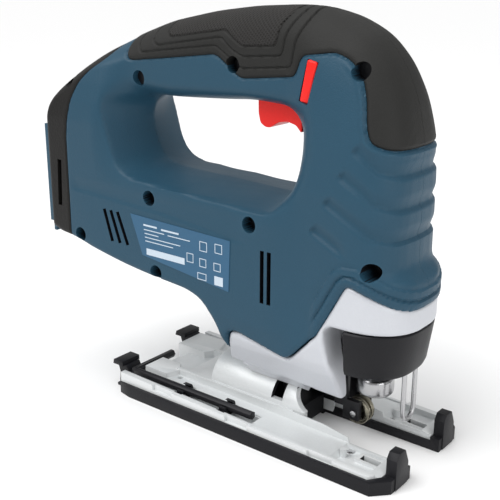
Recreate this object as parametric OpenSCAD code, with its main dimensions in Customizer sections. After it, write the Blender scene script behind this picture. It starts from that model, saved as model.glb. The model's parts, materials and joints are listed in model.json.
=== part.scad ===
// Cordless jigsaw with a D-handle, a slide-on battery rail and a bevel base.
// X points forward to the blade end, Y to the left, Z up. The sole lies on Z = 0.

/* [Base] */
// Overall width of the base with its slide shoe
base_w = 78; // [76:0.5:80]
// Thickness of the slide shoe under the base
shoe_t = 1.6; // [1.2:0.1:2]
// Gap between the two front prongs
prong_gap = 28.6; // [27:0.2:30]
// Outer radius of the bevel saddle
saddle_r = 15; // [14.8:0.1:15.1]
// Across-flats size of the hex key
key_af = 4; // [3:0.5:4]

/* [Body] */
// Outer width of the motor body
body_w = 61; // [60:0.5:64]
// Outer width of the handle
handle_w = 37; // [35:0.5:40]
// Outer width of the nose at its widest
nose_w = 57; // [56:0.5:60]
// Wall of the plastic housing
wall = 2.6; // [2:0.1:3]
// Thickness of the moulded soft grip
grip_t = 2.2; // [1.6:0.1:2.6]

/* [Drive] */
// Height of the motor axis
motor_z = 94; // [93:0.5:95]
// Module of the gear teeth
gear_m = 1; // [1:1:1]
// Teeth on the pinion
pinion_teeth = 9; // [9:1:9]
// Teeth on the drive gear
gear_teeth = 45; // [45:1:45]
// Stroke of the blade
stroke = 23; // [18:0.5:23]
// Position of the blade axis along the tool
blade_x = 88; // [87:0.5:89]
// Radius of the plunger rod
rod_r = 5; // [4.5:0.1:5]
// Travel of the trigger
trigger_travel = 6; // [4:0.5:6]

/* [Hidden] */
$fn = 48;
eps = 0.01;
far = 200;
run = 0.05;                                    // radial running clearance of shafts
gap = 0.5;                                     // clearance between parts that pass each other
gear_z = motor_z + gear_m * (pinion_teeth + gear_teeth) / 2;
crank_r = stroke / 2;
yoke_z = gear_z - crank_r;                     // yoke height at the bottom of the stroke
nose_x = 82;                                   // upright axis of the rounded nose
lever_r = 26;                                  // outer radius of the release lever
guard_x = 106;
guard_y = 5.1;
guard_wire_r = 1.15;
orbit_x = 50;
orbit_z = 43.5;
tilt_z = 11.5;                                 // height of the bevel axis
base_y = base_w / 2;
metal_y = base_y - 2.2;                        // half width of the metal base
key_y = -28.5;
key_z = 10.6;
clamp_r = 9;
motor_r = 23;                                  // outside of the motor can
boss_r = 4.5;                                  // screw boss inside the housing
well_r = 4;                                    // screw head well
frame_x = -92;                                 // front edge of the battery frame
clip_places = [-10, 19];
pin_places = [[-22, -19], [87, -19], [87, 19], [-22, 19]];
screw_places = [[-47, 170, 12], [15, 181, 10], [84, 183, 9], [-31, 112, 19], [34, 110, 19],
                [-84, 83, 19], [-27, 73, 19], [97, 99, 13]];

// ---------- outlines in the side view (X, Z) ----------

seam = [[110.5, 80], [98, 86], [87, 89], [80, 76], [70, 63], [56, 49.5], [44, 50.5], [28, 54], [23, 49], [18, 33]];
front_line = [[110.5, 98], [105, 104], [105, 140], [104, 155], [100, 172], [93, 186], [83, 197], [70, 204]];
top_line = [[55, 207], [42, 208], [16, 206], [-8, 203], [-35, 198], [-56, 191], [-77, 184]];
rear_line = [[-93, 174], [-104, 165], [-111, 155], [-113, 146], [-113, 79]];
belly_line = [[-91, 77], [-75, 73], [-52, 69], [-30, 66.5], [-8, 65], [1, 62], [9, 54], [13, 46], [13, 33]];
opening = [[-50, 150], [-48, 138], [-42, 130], [-30, 126], [0, 124], [35, 122], [44, 126], [46, 135],
           [46, 156], [42, 163], [-40, 161]];

module side_outline() {
    difference() {
        polygon(concat(front_line, top_line, rear_line, belly_line,
                       [for (i = [len(seam) - 1:-1:0]) seam[i]]));
        polygon(opening);
    }
}

// Where the soft grip lies over the housing
module grip_zone() {
    polygon([[-57, 215], [-57, 185], [-50, 177], [-28, 179], [2, 184], [11, 180], [20, 174], [50, 177],
             [53, 190], [68, 190], [76, 185], [82, 176], [85, 162], [88, 153], [96, 150], [120, 150], [120, 215]]);
}

// ---------- sections across the tool (Y, Z) and in plan (X, Y) ----------

module body_section() {
    b = body_w / 2;
    h = handle_w / 2;
    polygon([[-17, 31], [17, 31], [b - 2, 46], [b, 72], [b, 109], [b - 7, 122], [h + 3, 140], [h, 158], [h, 190],
             [h - 7, 209], [7 - h, 209], [-h, 190], [-h, 158], [-h - 3, 140], [7 - b, 122], [-b, 109], [-b, 72],
             [2 - b, 46]]);
}

module nose_section() {
    n = nose_w / 2;
    polygon([[-17, 31], [17, 31], [n, 46], [n, 130], [n - 4, 160], [n - 9, 190], [n - 16, 209],
             [16 - n, 209], [9 - n, 190], [4 - n, 160], [-n, 130], [-n, 46]]);
}

module nose_plan() {
    n = nose_w / 2;
    translate([nose_x, 0])
    circle(n, $fn = 64);
    translate([40, -n])
    square([nose_x - 40, 2 * n]);
}

// The battery end is as wide as the motor body and narrows to the handle
module rear_section() {
    b = body_w / 2;
    polygon([[-b, 60], [b, 60], [b, 160], [b - 4, 172], [b - 12, 186], [12 - b, 186], [4 - b, 172], [-b, 160]]);
}

module rear_plan() {
    b = body_w / 2;
    h = handle_w / 2;
    polygon([[-118, -b], [-92, -b], [-60, -h], [-60, h], [-92, b], [-118, b]]);
}

// Solid outer form of the tool, shrunk by d on every side
module tool_form(d = 0) {
    intersection() {
        rotate([90, 0, 0])
        translate([0, 0, -40])
        linear_extrude(80)
        offset(delta = -d)
        side_outline();
        union() {
            translate([-118, 0, 0])
            rotate([90, 0, 90])
            linear_extrude(178)
            offset(delta = -d)
            body_section();
            intersection() {
                translate([40, 0, 0])
                rotate([90, 0, 90])
                linear_extrude(72)
                offset(delta = -d)
                nose_section();
                linear_extrude(212)
                offset(delta = -d)
                nose_plan();
            }
            intersection() {
                translate([-118, 0, 0])
                rotate([90, 0, 90])
                linear_extrude(60)
                offset(delta = -d)
                rear_section();
                linear_extrude(212)
                offset(delta = -d)
                rear_plan();
            }
        }
    }
}

module half_space(side) {
    translate([-far, side > 0 ? 0 : -far, -far])
    cube([2 * far, far, 3 * far]);
}

module grip_prism() {
    rotate([90, 0, 0])
    translate([0, 0, -40])
    linear_extrude(80)
    grip_zone();
}

module box(x0, x1, y0, y1, z0, z1) {
    translate([x0, y0, z0])
    cube([x1 - x0, y1 - y0, z1 - z0]);
}

module x_rod(r, x0, x1, z) {
    translate([x0, 0, z])
    rotate([0, 90, 0])
    cylinder(r = r, h = x1 - x0);
}

module y_rod(r, x, z, y0, y1) {
    translate([x, y0, z])
    rotate([-90, 0, 0])
    cylinder(r = r, h = y1 - y0);
}

module slot_cut(x0, z0, x1, z1, w) {
    length = norm([x1 - x0, z1 - z0]);
    translate([x0, -40, z0])
    rotate([0, -atan2(z1 - z0, x1 - x0), 0])
    translate([0, 0, -w / 2])
    cube([length, 80, w]);
}

// ---------- housing ----------

module shell_cavity() {
    difference() {
        union() {
            tool_form(wall + grip_t);
            intersection() {
                tool_form(wall);
                box(frame_x - 8, 112, -40, 40, 30, 146);
            }
        }
        for (s = screw_places)
            y_rod(boss_r, s[0], s[1], -40, 40);
    }
    x_rod(motor_r + 0.4, -25.5, 28, motor_z);
    translate([blade_x, 0, 70])
    cylinder(r = 8.8, h = yoke_z + 8 + stroke - 70);
    translate([blade_x, 0, 130])
    cylinder(r = rod_r + 0.8, h = 24 + stroke);
}

module housing_cuts() {
    for (s = screw_places) {
        y_rod(1.7, s[0], s[1], -s[2] - 1, 9);
        y_rod(well_r, s[0], s[1], -40, -s[2]);
    }
    for (x = [42, 46])
        slot_cut(x, 73, x, 99, 2.2);
    for (i = [0:2])
        slot_cut(-64 + 5 * i, 101, -59 + 6 * i, 84, 2.2);
    box(20.4, 46.6, -7.6, 7.6, 150, 170 + trigger_travel);
    slot_cut(57, 186.5, 56, 168.5, 6);         // lock button slot
}

module housing_half(side) {
    intersection() {
        difference() {
            tool_form();
            difference() {
                grip_prism();
                tool_form(grip_t);
            }
            shell_cavity();
            housing_cuts();
            box(-120, frame_x, -40, 40, 70, 180);
        }
        half_space(side);
    }
}

module grip_half(side) {
    intersection() {
        difference() {
            tool_form();
            tool_form(grip_t);
            for (s = screw_places)
                y_rod(well_r, s[0], s[1], -40, 0);
            box(20.4, 46.6, -7.6, 7.6, 150, 170 + trigger_travel);
            slot_cut(57, 186.5, 56, 168.5, 6);
        }
        grip_prism();
        half_space(side);
    }
}

module housing_right() {
    color("steelblue")
    housing_half(-1);
}

module housing_left() {
    color("steelblue")
    housing_half(1);
}

module grip_right() {
    color([0.14, 0.13, 0.13])
    grip_half(-1);
}

module grip_left() {
    color([0.14, 0.13, 0.13])
    grip_half(1);
}

module housing_screws() {
    color("silver")
    for (s = screw_places) {
        difference() {
            y_rod(3.4, s[0], s[1], -s[2] - 2.6, -s[2]);
            y_rod(1.6, s[0], s[1], -s[2] - 3, -s[2] - 1.2);
        }
        y_rod(1.65, s[0], s[1], -s[2], 8.5);
    }
}

// ---------- battery end ----------

module battery_outline(x0, x1, inset) {
    intersection() {
        tool_form(inset);
        box(x0, x1, -40, 40, 70, 180);
    }
}

module battery_frame() {
    color([0.16, 0.15, 0.16])
    difference() {
        battery_outline(-111, frame_x, 0);
        box(-112, frame_x + 1, -24, 24, 84, 156);
    }
}

module battery_rail() {
    color("steelblue") {
        battery_outline(-113, -111, 0);
        for (side = [-1, 1])
            difference() {
                translate([0, side > 0 ? 18 : -24, 0])
                box(-117, -113, 0, 6, 84, 150);
                translate([0, side > 0 ? 18 : -20.5, 0])
                box(-115.5, -112.9, -eps, 2.5 + eps, 86, 152);
            }
    }
}

module terminal_block() {
    color([0.12, 0.12, 0.13])
    difference() {
        box(-116.5, -113, -15, 15, 96, 128);
        for (y = [-9, 0, 9])
            box(-116.6, -114, y - 1, y + 1, 100, 124);
    }
}

module battery_terminals() {
    color("goldenrod")
    for (y = [-9, 0, 9])
        box(-116, -114, y - 0.5, y + 0.5, 102, 122);
}

// ---------- gear case ----------

module case_outline() {
    polygon(concat(seam, [[18, 31], [80, 31], [84.6, 42], [84.6, 50], [79, 52], [76, 66], [82, 69.8],
                          [110.5, 69.8]]));
}

module gear_case() {
    color([0.8, 0.8, 0.78])
    difference() {
        union() {
            intersection() {
                rotate([90, 0, 0])
                translate([0, 0, -40])
                linear_extrude(80)
                case_outline();
                translate([10, 0, 0])
                rotate([90, 0, 90])
                linear_extrude(102)
                nose_section();
                union() {
                    box(10, nose_x, -nose_w / 2, nose_w / 2, 30, 100);
                    linear_extrude(100)
                    nose_plan();
                }
            }
            translate([20, 0, 0])              // foot that sits on the saddle
            rotate([90, 0, 90])
            linear_extrude(36)
            polygon([[-8.5, 22.5], [8.5, 22.5], [17, 31], [17, 33], [-17, 33], [-17, 31]]);
        }
        x_rod(saddle_r + 0.4, 10, 100, tilt_z);
        box(64, 101, -13, 13, 20, 71);         // blade clamp and fork space
        box(30, 62, -24, 24, 41, 96);          // room in front of the motor
        box(66, 74, -20, 20, 71, 96);          // room under the drive gear
        translate([blade_x, 0, 60])
        cylinder(r = 8, h = 40);
        translate([blade_x, 0, 82])
        cylinder(r = 12, h = 20);
        y_rod(2, 72, 44, -20, 20);             // fork pivot
        y_rod(3, orbit_x, orbit_z, 20, 32);    // orbit lever shaft
        translate([40, 0, 20])
        cylinder(r = 3, h = 20);
    }
}

module gear_frame() {
    color([0.72, 0.72, 0.7])
    difference() {
        union() {
            box(57, 63, -20, 20, 84, 154);
            box(63, 84, -8, 8, 147, 154);
            translate([blade_x, 0, 141])
            cylinder(r = 9.5, h = 13);
            box(54, 63, -15, 15, 88, 100);
        }
        x_rod(8, 56, 61, motor_z);
        x_rod(4, 53, 64, motor_z);
        x_rod(4, 53, 64, gear_z);
        translate([blade_x, 0, 140])
        cylinder(r = 7, h = 20);
        box(53, 56, -16, 16, 87, 101);
    }
}

module bush(z0, z1, outer_r) {
    color("goldenrod")
    translate([blade_x, 0, z0])
    difference() {
        cylinder(r = outer_r, h = z1 - z0);
        translate([0, 0, -1])
        cylinder(r = rod_r + run, h = z1 - z0 + 2);
    }
}

module lower_bush() {
    bush(72, 82, 8);
}

module upper_bush() {
    bush(141, 153, 7);
}

module rating_label() {
    color([0.35, 0.55, 0.75])
    rotate([90, 0, 0])
    translate([0, 0, body_w / 2])
    linear_extrude(0.3)
    polygon([[-44, 102], [-36, 81], [22, 74], [23, 100]]);
}

// ---------- motor and electrics ----------

module motor_can() {
    color([0.55, 0.56, 0.58])
    difference() {
        x_rod(motor_r, -22, 28, motor_z);
        x_rod(20.5, -23, 26, motor_z);
        x_rod(6, 20, 30, motor_z);
    }
}

module motor_magnets() {
    color([0.2, 0.2, 0.22])
    for (side = [0, 180])
        translate([-9, 0, motor_z])
        rotate([0, 90, 0])
        rotate([0, 0, side - 55])
        rotate_extrude(angle = 110)
        translate([17.6, 0])
        square([2.9, 32]);
}

module motor_end_cap() {
    color([0.15, 0.15, 0.16])
    difference() {
        union() {
            x_rod(motor_r, -25, -22, motor_z);
            x_rod(10, -35, -25, motor_z);
        }
        x_rod(8, -34, -28, motor_z);
        x_rod(4, -36, -20, motor_z);
    }
}

module brush_holder() {
    color("goldenrod")
    for (side = [-1, 1])
        translate([0, side > 0 ? 8.4 : -17, 0])
        box(-20, -13, 0, 8.6, motor_z - 3, motor_z + 3);
}

module bearing(x0, x1, outer_r) {
    color("silver")
    difference() {
        x_rod(outer_r, x0, x1, motor_z);
        x_rod(2.5 + run, x0 - 1, x1 + 1, motor_z);
    }
}

module front_bearing() {
    bearing(56, 61, 8);
}

module rear_bearing() {
    bearing(-34, -28, 8);
}

module switch_module() {
    color([0.12, 0.12, 0.13]) {
        box(20.5, 47, -9.5, 9.5, 180, 195);
        box(-6, 20.5, -7, 7, 187, 195);
    }
}

module control_board() {
    color("seagreen") {
        box(-80, -78.4, -22, 22, 92, 145);
        box(-78.4, -70, -18, 18, 96, 140);
    }
}

module power_leads() {
    color("firebrick")
    for (side = [-1, 1])
        translate([0, 5 * side, 0]) {
            translate([-68.4, 0, 134])
            cylinder(r = 1.4, h = 44);
            translate([-68.4, 0, 178])
            sphere(1.4);
            x_rod(1.4, -68.4, -40, 178);
        }
}

module rotor_shaft() {
    color("silver")
    x_rod(2.5, -33.5, 76, motor_z);
}

module armature() {
    color([0.45, 0.3, 0.2])
    difference() {
        x_rod(16.8, -9, 22, motor_z);
        for (a = [0:30:330])
            translate([-10, 0, motor_z])
            rotate([a, 0, 0])
            translate([0, -1, 14.5])
            cube([40, 2, 4]);
        x_rod(2.5, -10, 23, motor_z);
    }
}

module commutator() {
    color("peru")
    difference() {
        x_rod(8, -21, -11, motor_z);
        x_rod(2.5, -22, -10, motor_z);
    }
}

module cooling_fan() {
    color([0.15, 0.15, 0.16])
    difference() {
        union() {
            x_rod(19.5, 43, 44.6, motor_z);
            x_rod(6, 43, 51, motor_z);
            for (a = [0:30:330])
                translate([44, 0, motor_z])
                rotate([a, 0, 0])
                translate([0, -0.6, 9])
                cube([6.5, 1.2, 10]);
        }
        x_rod(2.5, 42, 52, motor_z);
    }
}

// A spur gear seen along X: straight-sided teeth with some backlash
module gear_outline(teeth, start) {
    pitch_r = gear_m * teeth / 2;
    root_r = pitch_r - 1.12 * gear_m;
    tip_r = pitch_r + 0.9 * gear_m;
    circle(root_r, $fn = 96);
    for (i = [0:teeth - 1])
        rotate(start + i * 360 / teeth)
        polygon([[root_r - 0.6, -0.85], [pitch_r, -0.6], [tip_r, -0.28],
                 [tip_r, 0.28], [pitch_r, 0.6], [root_r - 0.6, 0.85]]);
}

module motor_pinion() {
    color("dimgray")
    difference() {
        translate([65, 0, motor_z])
        rotate([90, 0, 90])
        linear_extrude(10)
        gear_outline(pinion_teeth, 90 + 180 / pinion_teeth);
        x_rod(2.5, 60, 80, motor_z);
    }
}

module gear_axle() {
    color("silver") {
        x_rod(4, 57, 75, gear_z);
        x_rod(5.5, 75, 76, gear_z);
    }
}

module drive_gear() {
    color([0.6, 0.58, 0.5]) {
        difference() {
            union() {
                translate([66.5, 0, gear_z])
                rotate([90, 0, 90])
                linear_extrude(6.5)
                gear_outline(gear_teeth, -90);
                x_rod(7, 66.5, 74.7, gear_z);
            }
            x_rod(4 + run, 60, 80, gear_z);
        }
        x_rod(3.2, 72.9, 79.3, yoke_z);
    }
}

module counterweight() {
    color([0.5, 0.5, 0.52])
    difference() {
        intersection() {
            x_rod(19, 63.6, 66.5, gear_z);
            box(60, 70, -20, 20, gear_z, gear_z + 30);
        }
        x_rod(7, 60, 70, gear_z);
    }
}

// ---------- plunger and blade guide ----------

module plunger_rod() {
    color("silver")
    translate([blade_x, 0, 42])
    cylinder(r = rod_r, h = 111);
}

module plunger_yoke() {
    color([0.55, 0.55, 0.57])
    difference() {
        union() {
            box(80, 84, -17.5, 17.5, yoke_z - 7, yoke_z + 7);
            translate([blade_x, 0, yoke_z - 7])
            cylinder(r = 8, h = 14);
        }
        translate([blade_x, 0, 40])
        cylinder(r = rod_r, h = 110);
        box(79, 82.4, -15.2, 15.2, yoke_z - 3.3, yoke_z + 3.3);
    }
}

module blade_clamp() {
    color([0.75, 0.76, 0.78])
    translate([blade_x, 0, 28])
    difference() {
        union() {
            cylinder(r1 = clamp_r - 1, r2 = clamp_r, h = 1.2);
            translate([0, 0, 1.2])
            cylinder(r = clamp_r, h = 10);
            translate([0, 0, 11.2])
            cylinder(r = clamp_r - 1.8, h = 2.8);
        }
        translate([-4.6, -0.8, -1])
        cube([9.2, 1.6, 12]);
        translate([0, 0, -1])
        cylinder(r = 3.2, h = 3);
    }
}

module roller_fork() {
    color([0.16, 0.16, 0.17])
    difference() {
        union() {
            y_rod(4.5, 72, 44, -11, 11);
            for (side = [-1, 1])
                translate([0, side > 0 ? 3.4 : -6, 0])
                union() {
                    box(69, 76, 0, 2.6, 20, 44);
                    box(74, 83, 0, 2.6, 14, 24);
                }
            box(68.6, 72.6, -6, 6, 24, 44);
        }
        y_rod(2 + run, 72, 44, -20, 20);
        y_rod(1.6, 80, 17.5, -20, 20);
    }
}

module fork_pin() {
    color("silver")
    y_rod(2, 72, 44, -20, 20);
}

module roller_pin() {
    color("silver")
    y_rod(1.6, 80, 17.5, -6.8, 6.8);
}

module guide_roller() {
    color([0.7, 0.66, 0.55])
    difference() {
        y_rod(6.8, 80, 17.5, -3, 3);
        y_rod(1.6 + run, 80, 17.5, -4, 4);
        for (side = [-1, 1])
            y_rod(4.6, 80, 17.5, side > 0 ? 2.3 : -4, side > 0 ? 4 : -2.3);
        rotate([-90, 0, 0])
        translate([80, -17.5, -0.7])
        rotate_extrude()
        translate([5.4, 0])
        square([2, 1.4]);
    }
}

module orbit_lever() {
    knob_y = body_w / 2 + gap;
    color([0.2, 0.2, 0.21]) {
        y_rod(3 - run, orbit_x, orbit_z, 24.5, knob_y);
        y_rod(6.8, orbit_x, orbit_z, knob_y, knob_y + 3.5);
        translate([orbit_x, knob_y, orbit_z - 2.5])
        cube([14, 3.5, 5]);
    }
}

// ---------- controls ----------

module trigger() {
    color([0.72, 0.08, 0.08])
    intersection() {
        rotate([90, 0, 0])
        translate([0, 0, -7])
        linear_extrude(14)
        polygon([[21, 172], [21, 158], [22, 153.5], [25, 152], [29, 153], [33, 155.5], [38, 156.5],
                 [43, 154], [46, 152.6], [46, 172]]);
        box(20, 48, -7, 7, 150, 172);
    }
}

module trigger_spring() {
    color("silver")
    difference() {
        translate([30, 0, 172])
        cylinder(r = 3.5, h = 8);
        translate([30, 0, 171])
        cylinder(r = 2.6, h = 10);
    }
}

module lock_button() {
    color([0.72, 0.08, 0.08])
    intersection() {
        slot_cut(57, 186, 56, 169, 5.2);
        box(40, 70, -21.5, 21.5, 160, 190);
    }
}

// Wrap-around lever that turns about the upright axis of the nose
module release_lever() {
    color([0.13, 0.13, 0.14])
    difference() {
        intersection() {
            translate([nose_x, 0, 46.5])
            difference() {
                cylinder(r = lever_r, h = 23, $fn = 64);
                translate([0, 0, -1])
                cylinder(r = lever_r - 6, h = 25, $fn = 64);
                translate([0, 0, 2.5])
                cylinder(r = lever_r - 3, h = 25, $fn = 64);
            }
            box(nose_x + 11, 112, -40, 40, 40, 72);
        }
        guard_legs(46, 49);
    }
}

module guard_legs(z0, z1) {
    for (side = [-1, 1])
        translate([guard_x, guard_y * side, z0])
        cylinder(r = guard_wire_r, h = z1 - z0);
}

module touch_guard() {
    color("silver") {
        guard_legs(26.5, 49);
        translate([guard_x, 0, 26.5])
        rotate([0, 90, 0])
        rotate([0, 0, -90])
        rotate_extrude(angle = 180)
        translate([guard_y, 0])
        circle(guard_wire_r);
    }
}

// ---------- base ----------

module metal_outline(x0) {
    y = metal_y;
    polygon([[x0, -y], [108, -y], [112, 6 - y], [112, y - 6], [108, y], [x0, y]]);
}

module blade_gap_plan() {
    translate([51, -prong_gap / 2])
    square([70, prong_gap]);
}

module base_plate() {
    color([0.78, 0.78, 0.76])
    difference() {
        union() {
            translate([0, 0, shoe_t])
            linear_extrude(2.4)
            difference() {
                metal_outline(-50);
                blade_gap_plan();
            }
            for (side = [-1, 1])
                translate([0, side > 0 ? 22 : -metal_y, 0])
                box(-50, 104, 0, metal_y - 22, 3, 9);
            for (side = [-1, 1])
                translate([0, side > 0 ? 22 : -metal_y + 1.5, 0])
                box(-50, 46, 0, metal_y - 23.5, 8, 12);
            box(-50, -26, -22, 22, 3, 12);
            box(-26, 62, -15.5, 15.5, 3, 13);
            x_rod(saddle_r, -5, 57, tilt_z);
        }
        x_rod(saddle_r - 3, -1, 60, tilt_z);   // hollow of the saddle
        box(-1, 60, 3 - saddle_r, saddle_r - 3, -1, tilt_z);
        box(-10, 70, -20, 20, -10, shoe_t);
        box(36.5, 43.5, -16, 16, 15.5, 40);    // slot for the clamp screw
        box(51, 70, -prong_gap / 2, prong_gap / 2, -1, 40);
        box(-52, 38, -33, -24, 8, 20);         // hex key channel
        box(-52, -44, -33, 5, 8, 20);
        box(-43, -30, -16, 16, 6, 20);         // rear pocket
        for (side = [-1, 1])                   // windows near the prong tips
            translate([0, side > 0 ? 23.5 : -30.5, 0])
            box(92, 100, 0, 7, 5, 20);
        for (p = pin_places)
            translate([p[0], p[1], -1])
            cylinder(r = 1.5, h = 8);
        key_clip_seats();
    }
}

module key_clip_seats() {
    for (x = clip_places)
        box(x - 2.6, x + 2.6, -34.4, -22.6, 7, 20);
}

module base_pins() {
    color("silver")
    for (p = pin_places)
        translate([p[0], p[1], shoe_t]) {
            cylinder(r = 1.5, h = 4);
            translate([0, 0, 2.4])
            cylinder(r = 2.6, h = 1.6);
        }
}

module shoe_plan(y) {
    difference() {
        polygon([[-42, -y], [110.5, -y], [117, -y + 7], [117, y - 7], [110.5, y], [-42, y],
                 [-50, y - 10], [-50, 10 - y]]);
        blade_gap_plan();
        translate([-1, 3 - saddle_r])
        square([60, 2 * saddle_r - 6]);
    }
}

module slide_shoe() {
    color([0.12, 0.12, 0.13]) {
        linear_extrude(shoe_t)
        shoe_plan(base_y);
        difference() {
            linear_extrude(6.5)
            shoe_plan(base_y);
            translate([0, 0, shoe_t])
            linear_extrude(10)
            metal_outline(-60);
        }
        for (side = [-1, 1]) {
            translate([0, side > 0 ? 18 : -28, 0])
            box(112, 117, 0, 10, 0, 18);        // front bumpers
            translate([0, side > 0 ? 19 : -32, 0]) {
                box(-58, -50, 0, 13, 0, shoe_t);
                box(-58, -50.4, 3, 10, 0, 13);
                box(-61, -54, 0, 13, 12, 15);
            }
        }
    }
}

module key_clips() {
    color([0.1, 0.1, 0.11])
    for (x = clip_places)
        difference() {
            box(x - 2.5, x + 2.5, -34, -23, 7, 12.8);
            translate([x - 5, key_y, key_z])
            rotate([0, 90, 0])
            cylinder(r = key_af / 2 + 0.75, h = 10);
            box(x - 5, x + 5, key_y - 2.75, key_y + 2.75, key_z, 20);
        }
}

module base_clamp_screw() {
    color("dimgray")
    translate([40, 0, 0])
    difference() {
        union() {
            translate([0, 0, 17])
            cylinder(r = 5.5, h = 5);
            translate([0, 0, 21])
            cylinder(r = 3, h = 19);
        }
        translate([0, 0, 16])
        cylinder(r = 2.9, h = 4, $fn = 6);
    }
}

module hex_key() {
    color([0.1, 0.1, 0.11]) {
        translate([-46.5, key_y, key_z])
        rotate([0, 90, 0])
        cylinder(r = key_af / sqrt(3), h = 82, $fn = 6);
        translate([-47, key_y - 1, key_z])
        rotate([-90, 0, 0])
        cylinder(r = key_af / sqrt(3), h = 31, $fn = 6);
    }
}

housing_right();
housing_left();
grip_right();
grip_left();
housing_screws();
battery_frame();
battery_rail();
terminal_block();
battery_terminals();
gear_case();
gear_frame();
lower_bush();
upper_bush();
rating_label();
motor_can();
motor_magnets();
motor_end_cap();
brush_holder();
front_bearing();
rear_bearing();
switch_module();
control_board();
power_leads();
rotor_shaft();
armature();
commutator();
cooling_fan();
motor_pinion();
gear_axle();
drive_gear();
counterweight();
plunger_rod();
plunger_yoke();
blade_clamp();
fork_pin();
roller_fork();
roller_pin();
guide_roller();
orbit_lever();
trigger();
trigger_spring();
lock_button();
release_lever();
touch_guard();
base_plate();
slide_shoe();
base_pins();
key_clips();
base_clamp_screw();
hex_key();
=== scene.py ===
import json
import math

import bmesh
import bpy
import numpy as np
from mathutils import Matrix, Vector


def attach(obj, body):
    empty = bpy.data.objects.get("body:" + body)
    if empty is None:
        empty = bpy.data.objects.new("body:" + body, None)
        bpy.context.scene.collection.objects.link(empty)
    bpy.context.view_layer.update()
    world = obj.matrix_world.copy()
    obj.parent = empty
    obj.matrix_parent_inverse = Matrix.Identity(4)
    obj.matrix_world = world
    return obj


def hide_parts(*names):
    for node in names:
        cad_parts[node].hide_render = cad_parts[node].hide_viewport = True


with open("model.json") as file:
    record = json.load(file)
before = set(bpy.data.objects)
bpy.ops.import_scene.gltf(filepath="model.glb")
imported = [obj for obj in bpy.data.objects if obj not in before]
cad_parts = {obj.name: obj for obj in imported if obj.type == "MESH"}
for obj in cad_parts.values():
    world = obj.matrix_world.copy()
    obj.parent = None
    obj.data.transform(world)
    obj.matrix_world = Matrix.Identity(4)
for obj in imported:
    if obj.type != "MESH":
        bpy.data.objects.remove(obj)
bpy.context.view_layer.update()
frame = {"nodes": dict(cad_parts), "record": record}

# Shapes are drawn in millimetres and made metres when a piece is finished.
MM = 0.001

# ---------------------------------------------------------------- materials


def add_socket(group, name, kind, inout, value=None):
    made = group.interface.new_socket(name=name, in_out=inout, socket_type=kind)
    if value is not None:
        made.default_value = value
    return made


def moulded_grain_group():
    """Fine grain of a moulded part: a normal, and the height it comes from."""
    group = bpy.data.node_groups.new("moulded_grain", "ShaderNodeTree")
    add_socket(group, "Size", "NodeSocketFloat", "INPUT", 1500.0)
    add_socket(group, "Depth", "NodeSocketFloat", "INPUT", 0.1)
    add_socket(group, "Normal", "NodeSocketVector", "OUTPUT")
    add_socket(group, "Height", "NodeSocketFloat", "OUTPUT")
    nodes, links = group.nodes, group.links
    inlet = nodes.new("NodeGroupInput")
    outlet = nodes.new("NodeGroupOutput")
    place = nodes.new("ShaderNodeTexCoord")
    grain = nodes.new("ShaderNodeTexNoise")
    grain.inputs["Detail"].default_value = 3.0
    bump = nodes.new("ShaderNodeBump")
    bump.inputs["Distance"].default_value = 0.0004
    links.new(place.outputs["Object"], grain.inputs["Vector"])
    links.new(inlet.outputs["Size"], grain.inputs["Scale"])
    links.new(inlet.outputs["Depth"], bump.inputs["Strength"])
    links.new(grain.outputs["Fac"], bump.inputs["Height"])
    links.new(bump.outputs["Normal"], outlet.inputs["Normal"])
    links.new(grain.outputs["Fac"], outlet.inputs["Height"])
    return group


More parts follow.
